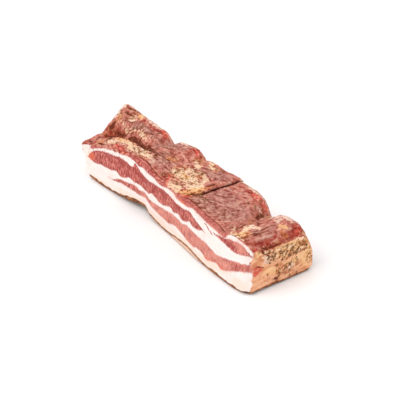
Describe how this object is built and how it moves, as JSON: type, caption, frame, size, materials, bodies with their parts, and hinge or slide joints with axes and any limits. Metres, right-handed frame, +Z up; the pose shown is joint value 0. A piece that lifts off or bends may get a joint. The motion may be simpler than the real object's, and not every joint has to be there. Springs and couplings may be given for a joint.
{
  "type": "smoked pancetta",
  "caption": "Slab of smoked pork belly with a freshly cut, layered side, a crusted and spiced outside and a thin rind below.",
  "frame": {"origin": "below the middle of the slab's box, on the surface that it stands on", "axes": "+X along the slab to its near, crusted end; +Y across it from the cut face to the crusted back; +Z up"},
  "size_m": [0.2888, 0.078, 0.0591],
  "materials": {
    "meat": "cured pork belly: satin, slightly greasy lean and fat at the cut, with a dry smoked crust around it"
  },
  "bodies": {
    "root": {"pancetta": "meat"}
  },
  "joints": []
}
